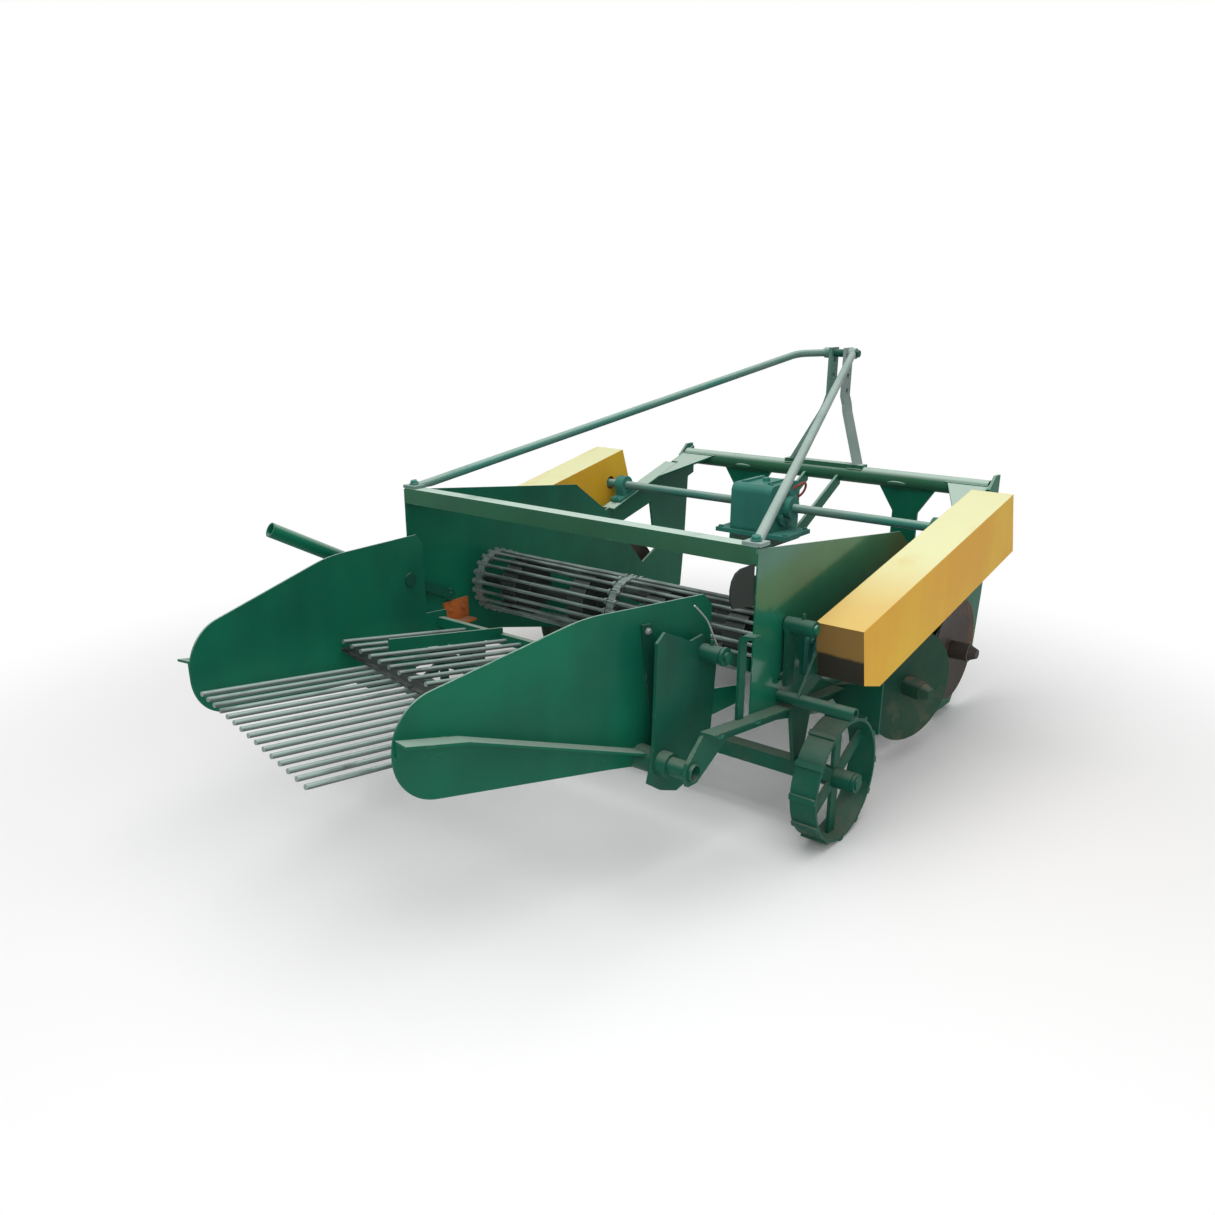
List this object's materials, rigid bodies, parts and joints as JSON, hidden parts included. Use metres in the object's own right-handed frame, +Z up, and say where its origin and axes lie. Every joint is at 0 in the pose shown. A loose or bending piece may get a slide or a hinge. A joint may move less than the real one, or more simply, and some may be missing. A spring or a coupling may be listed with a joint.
{
  "type": "tractor potato digger",
  "caption": "Tractor-mounted potato digger with a digging share, a rod-link elevator web, chain side drives under long covers, ground wheels, coulter discs and a shaking rod sieve.",
  "frame": {"origin": "on the ground, in the middle of the overall width and length", "axes": "+X to the machine's right, +Y forward to the tractor, +Z up"},
  "size_m": [1.68, 2.7018, 1.19],
  "materials": {
    "green_paint": "satin dark green paint, dusty",
    "gear_case_paint": "green paint on cast iron",
    "yellow_paint": "gloss yellow paint, dusty",
    "disc_steel": "dark brown painted disc steel",
    "rod_steel": "bare rod steel with light rust",
    "shaft_steel": "turned shaft steel",
    "chain_steel": "oiled dark steel",
    "fastener_steel": "zinc plated",
    "worn_share_steel": "ground hardened steel",
    "flap_rubber": "matt black rubber"
  },
  "bodies": {
    "frame": {"toolbar": "green_paint", "side_panel_left": "green_paint", "side_panel_right": "green_paint", "side_arms": "green_paint", "share_posts": "green_paint", "hitch_legs": "green_paint", "lower_link_pins": "shaft_steel", "headstock_bar_left": "green_paint", "headstock_bar_right": "green_paint", "headstock_spacer": "fastener_steel", "stay_left": "green_paint", "stay_right": "green_paint", "rear_beam": "green_paint", "lower_rail_left": "green_paint", "lower_rail_right": "green_paint", "share_blade": "worn_share_steel", "share_bar": "green_paint", "axle_beam": "green_paint", "wheel_collars": "fastener_steel", "rear_disc_arms": "green_paint", "gearbox_housing": "gear_case_paint", "gearbox_cover": "gear_case_paint", "gearbox_braces": "green_paint", "pillow_blocks": "gear_case_paint", "chain_cover_left": "yellow_paint", "chain_cover_right": "yellow_paint", "cover_brackets": "green_paint", "drive_chains": "chain_steel", "web_bearings": "gear_case_paint", "web_upper": "rod_steel", "web_rear": "rod_steel", "web_lower": "rod_steel", "web_front": "rod_steel", "foot_tube": "green_paint", "side_flap": "flap_rubber", "side_handle": "green_paint"},
    "drive_roller": {"drive_shaft": "shaft_steel", "rear_sprockets": "chain_steel"},
    "cross_drive": {"cross_shaft": "shaft_steel"},
    "input": {"pto_shaft": "shaft_steel"},
    "idler_roller": {"idler_shaft": "shaft_steel"},
    "wheel_left": {"ground_wheel_left": "green_paint"},
    "wheel_right": {"ground_wheel_right": "green_paint"},
    "disc_front_left": {"front_disc_left": "disc_steel"},
    "disc_front_right": {"front_disc_right": "disc_steel"},
    "disc_rear_left": {"rear_disc_left": "green_paint"},
    "disc_rear_right": {"rear_disc_right": "green_paint"},
    "sieve": {"sieve_fin_left": "green_paint", "sieve_fin_right": "green_paint", "sieve_hanger_left": "green_paint", "sieve_hanger_right": "green_paint", "sieve_rear_bar": "green_paint", "sieve_rear_rods": "rod_steel", "sieve_front_bar": "green_paint", "sieve_front_rods": "rod_steel", "fin_strips": "green_paint"},
    "rocker_arm_left": {"rocker_left": "green_paint"},
    "rocker_arm_right": {"rocker_right": "green_paint"},
    "link_left": {"swing_link_left": "green_paint"},
    "link_right": {"swing_link_right": "green_paint"}
  },
  "joints": [
    {"name": "drive_roller_spin", "type": "hinge", "parent": "frame", "child": "drive_roller", "pos_m": [0, 0.0449, 0.48], "axis": [1, 0, 0], "continuous": true},
    {"name": "cross_drive_spin", "type": "hinge", "parent": "frame", "child": "cross_drive", "pos_m": [0, 0.8249, 0.683], "axis": [1, 0, 0], "continuous": true},
    {"name": "input_spin", "type": "hinge", "parent": "frame", "child": "input", "pos_m": [0, 0.9849, 0.683], "axis": [0, 1, 0], "continuous": true},
    {"name": "idler_roller_spin", "type": "hinge", "parent": "frame", "child": "idler_roller", "pos_m": [0, 0.9699, 0.122], "axis": [1, 0, 0], "continuous": true},
    {"name": "wheel_left_spin", "type": "hinge", "parent": "frame", "child": "wheel_left", "pos_m": [-0.749, -0.0341, 0.176], "axis": [1, 0, 0], "continuous": true},
    {"name": "wheel_right_spin", "type": "hinge", "parent": "frame", "child": "wheel_right", "pos_m": [0.749, -0.0341, 0.176], "axis": [1, 0, 0], "continuous": true},
    {"name": "disc_front_left_spin", "type": "hinge", "parent": "frame", "child": "disc_front_left", "pos_m": [-0.664, 0.9329, 0.264], "axis": [1, 0, 0], "continuous": true},
    {"name": "disc_front_right_spin", "type": "hinge", "parent": "frame", "child": "disc_front_right", "pos_m": [0.664, 0.9329, 0.264], "axis": [1, 0, 0], "continuous": true},
    {"name": "disc_rear_left_spin", "type": "hinge", "parent": "frame", "child": "disc_rear_left", "pos_m": [-0.69, 0.5359, 0.256], "axis": [0.9511, 0.309, 0], "continuous": true},
    {"name": "disc_rear_right_spin", "type": "hinge", "parent": "frame", "child": "disc_rear_right", "pos_m": [0.69, 0.5359, 0.256], "axis": [0.9511, -0.309, 0], "continuous": true},
    {"name": "sieve_swing", "type": "hinge", "parent": "frame", "child": "sieve", "pos_m": [0, -0.5371, 0.338], "axis": [1, 0, 0], "range_deg": [-2, 2]},
    {"name": "rocker_left_swing", "type": "hinge", "parent": "frame", "child": "rocker_arm_left", "pos_m": [-0.66, -0.1201, 0.597], "axis": [1, 0, 0], "range_deg": [-5, 5]},
    {"name": "link_left_swing", "type": "hinge", "parent": "rocker_arm_left", "child": "link_left", "pos_m": [-0.607, -0.1201, 0.455], "axis": [1, 0, 0], "range_deg": [-5, 5]},
    {"name": "rocker_right_swing", "type": "hinge", "parent": "frame", "child": "rocker_arm_right", "pos_m": [0.66, -0.1201, 0.597], "axis": [1, 0, 0], "range_deg": [-5, 5]},
    {"name": "link_right_swing", "type": "hinge", "parent": "rocker_arm_right", "child": "link_right", "pos_m": [0.607, -0.1201, 0.455], "axis": [1, 0, 0], "range_deg": [-5, 5]}
  ],
  "couplings": [
    {"joint": "cross_drive_spin", "follows": "drive_roller_spin", "ratio": 1.3333},
    {"joint": "input_spin", "follows": "drive_roller_spin", "ratio": 1.3333},
    {"joint": "idler_roller_spin", "follows": "drive_roller_spin", "ratio": 2.087},
    {"joint": "rocker_left_swing", "follows": "sieve_swing", "ratio": -2.1829},
    {"joint": "link_left_swing", "follows": "sieve_swing", "ratio": 1.5476},
    {"joint": "rocker_right_swing", "follows": "sieve_swing", "ratio": -2.1829},
    {"joint": "link_right_swing", "follows": "sieve_swing", "ratio": 1.5476}
  ]
}
